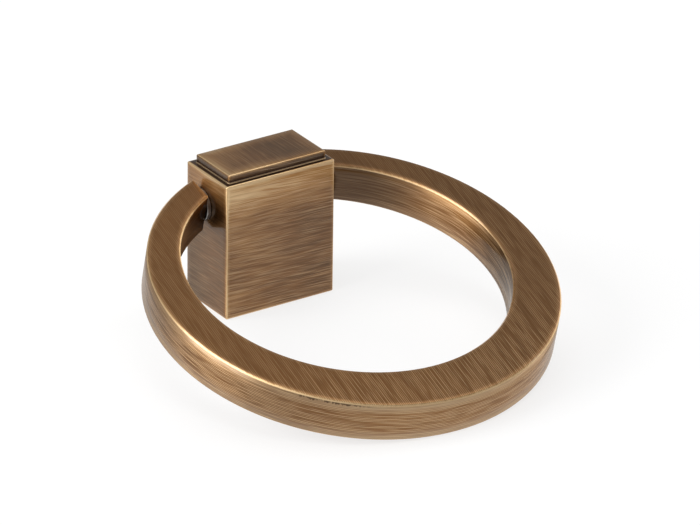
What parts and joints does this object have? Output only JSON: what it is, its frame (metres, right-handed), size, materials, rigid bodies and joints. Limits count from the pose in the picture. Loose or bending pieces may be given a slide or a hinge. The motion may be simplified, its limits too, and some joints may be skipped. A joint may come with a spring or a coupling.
{
  "type": "ring pull handle",
  "caption": "Drop ring pull for a drawer or cabinet: a stepped rectangular post carries a flat eccentric ring that swings on a cross pin, with a tapped hole in the back for the fixing screw.",
  "frame": {"origin": "centre of the post's flat mounting face, at the mouth of the tapped hole", "axes": "+Z out of the drawer front, X along the ring's pivot, ring sloping towards -Y at rest"},
  "size_m": [0.076, 0.0753, 0.0285],
  "materials": {
    "post_brass": "brushed antique brass",
    "ring_brass": "brushed antique brass",
    "pin_steel": "ground",
    "washer_steel": "plain"
  },
  "bodies": {
    "mounting_post": {"post": "post_brass", "pivot_pin": "pin_steel", "washer_left": "washer_steel", "washer_right": "washer_steel"},
    "pull_ring": {"ring": "ring_brass"}
  },
  "joints": [
    {"name": "ring_swing", "type": "hinge", "parent": "mounting_post", "child": "pull_ring", "pos_m": [0, 0.0015, 0.0204], "axis": [-1, 0, 0], "range_deg": [0, 206.9]}
  ]
}
